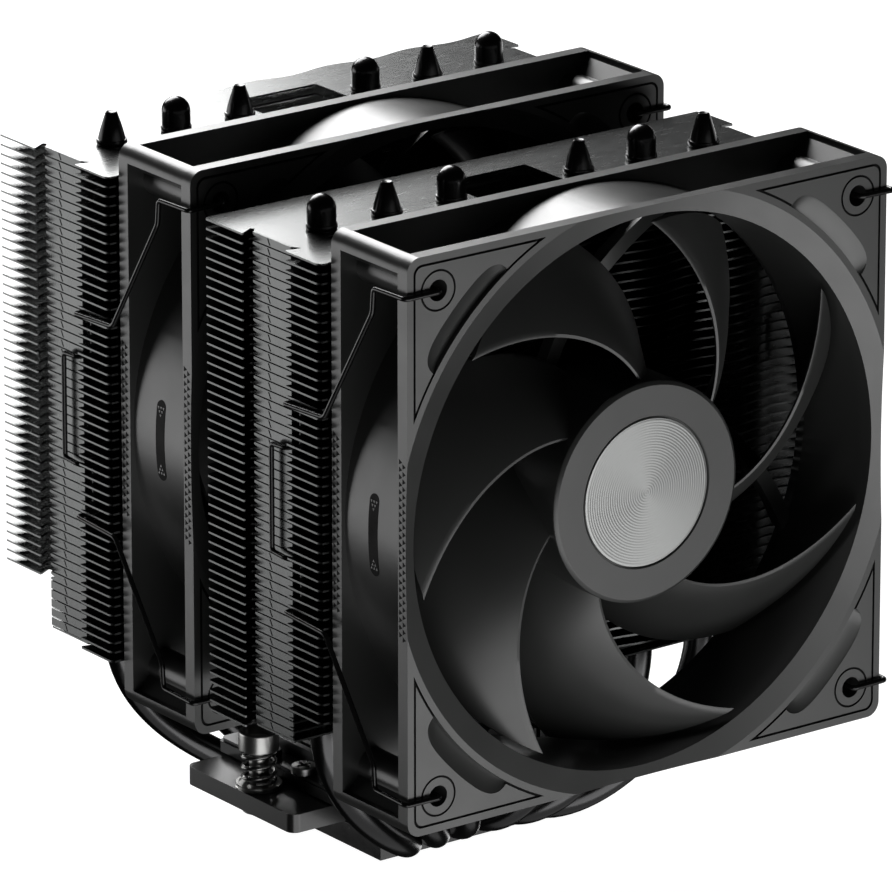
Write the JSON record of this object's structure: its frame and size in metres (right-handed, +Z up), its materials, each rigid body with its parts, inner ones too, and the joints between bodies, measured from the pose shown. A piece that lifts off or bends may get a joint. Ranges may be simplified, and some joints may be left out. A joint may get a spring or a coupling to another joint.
{
  "type": "cpu tower cooler",
  "caption": "Twin-tower processor cooler: black fin stacks on U-shaped heat pipes, two clipped axial fans and a crossbar base with spring screws.",
  "frame": {"origin": "centre of the cold plate's contact face, where it rests on the processor", "axes": "+Z up from the contact face to the pipe tips, X along the crossbar and the towers' width, front fan on the -Y side"},
  "size_m": [0.1284, 0.1391, 0.1537],
  "materials": {
    "nickel": "satin",
    "gloss_bar": "gloss",
    "pipe": "gloss",
    "fin": "satin",
    "frame": "matte",
    "rotor": "matte",
    "badge": "satin",
    "steel": "satin",
    "wire": "gloss",
    "magnet": "matte",
    "winding": "satin",
    "board": "matte",
    "bearing": "satin"
  },
  "bodies": {
    "cooler": {"cold_plate": "nickel", "base_cover": "nickel", "mounting_crossbar": "gloss_bar", "base_top_plate": "fin", "retainer_screw_1": "steel", "retainer_screw_2": "steel", "retainer_screw_3": "steel", "retainer_screw_4": "steel", "left_coil_spring": "steel", "left_spring_washer": "steel", "right_coil_spring": "steel", "right_spring_washer": "steel", "heat_pipe_1": "pipe", "heat_pipe_2": "pipe", "heat_pipe_3": "pipe", "heat_pipe_4": "pipe", "heat_pipe_5": "pipe", "heat_pipe_6": "pipe", "fin_stack_front": "fin", "fin_stack_rear": "fin", "front_fan_frame": "frame", "front_motor_stator": "winding", "front_circuit_board": "board", "front_bearing_sleeve": "bearing", "mid_fan_frame": "frame", "mid_motor_stator": "winding", "mid_circuit_board": "board", "mid_bearing_sleeve": "bearing"},
    "front_rotor": {"front_impeller": "rotor", "front_hub_badge": "badge", "front_magnet_ring": "magnet", "front_shaft": "steel"},
    "mid_rotor": {"mid_impeller": "rotor", "mid_hub_badge": "badge", "mid_magnet_ring": "magnet", "mid_shaft": "steel"},
    "left_screw_carrier": {"left_retaining_ring": "steel"},
    "left_screw": {"left_spring_screw": "steel"},
    "right_screw_carrier": {"right_retaining_ring": "steel"},
    "right_screw": {"right_spring_screw": "steel"},
    "front_left_clip": {"front_clip_left": "wire"},
    "front_right_clip": {"front_clip_right": "wire"},
    "mid_left_clip": {"mid_clip_left": "wire"},
    "mid_right_clip": {"mid_clip_right": "wire"}
  },
  "joints": [
    {"name": "front_fan_spin", "type": "hinge", "parent": "cooler", "child": "front_rotor", "pos_m": [0, -0.081, 0.0932], "axis": [0, -1, 0], "continuous": true},
    {"name": "mid_fan_spin", "type": "hinge", "parent": "cooler", "child": "mid_rotor", "pos_m": [0, -0.0081, 0.0932], "axis": [0, -1, 0], "continuous": true},
    {"name": "left_screw_press", "type": "slide", "parent": "cooler", "child": "left_screw_carrier", "axis": [0, 0, -1], "range_m": [0, 0.0025], "stiffness_N_per_m": 2500, "deforming": ["left_coil_spring"]},
    {"name": "left_screw_turn", "type": "hinge", "parent": "left_screw_carrier", "child": "left_screw", "pos_m": [-0.0383, 0, 0.02], "axis": [0, 0, 1], "continuous": true},
    {"name": "right_screw_press", "type": "slide", "parent": "cooler", "child": "right_screw_carrier", "axis": [0, 0, -1], "range_m": [0, 0.0025], "stiffness_N_per_m": 2500, "deforming": ["right_coil_spring"]},
    {"name": "right_screw_turn", "type": "hinge", "parent": "right_screw_carrier", "child": "right_screw", "pos_m": [0.0383, 0, 0.02], "axis": [0, 0, 1], "continuous": true},
    {"name": "front_clip_left_open", "type": "hinge", "parent": "cooler", "child": "front_left_clip", "pos_m": [-0.0525, -0.082, 0.0932], "axis": [0, 0, 1], "range_deg": [0, 25], "stiffness_Nm_per_rad": 0.02},
    {"name": "front_clip_right_open", "type": "hinge", "parent": "cooler", "child": "front_right_clip", "pos_m": [0.0525, -0.082, 0.0932], "axis": [0, 0, -1], "range_deg": [0, 25], "stiffness_Nm_per_rad": 0.02},
    {"name": "mid_clip_left_open", "type": "hinge", "parent": "cooler", "child": "mid_left_clip", "pos_m": [-0.0525, -0.0091, 0.0932], "axis": [0, 0, 1], "range_deg": [0, 25], "stiffness_Nm_per_rad": 0.02},
    {"name": "mid_clip_right_open", "type": "hinge", "parent": "cooler", "child": "mid_right_clip", "pos_m": [0.0525, -0.0091, 0.0932], "axis": [0, 0, -1], "range_deg": [0, 25], "stiffness_Nm_per_rad": 0.02}
  ]
}
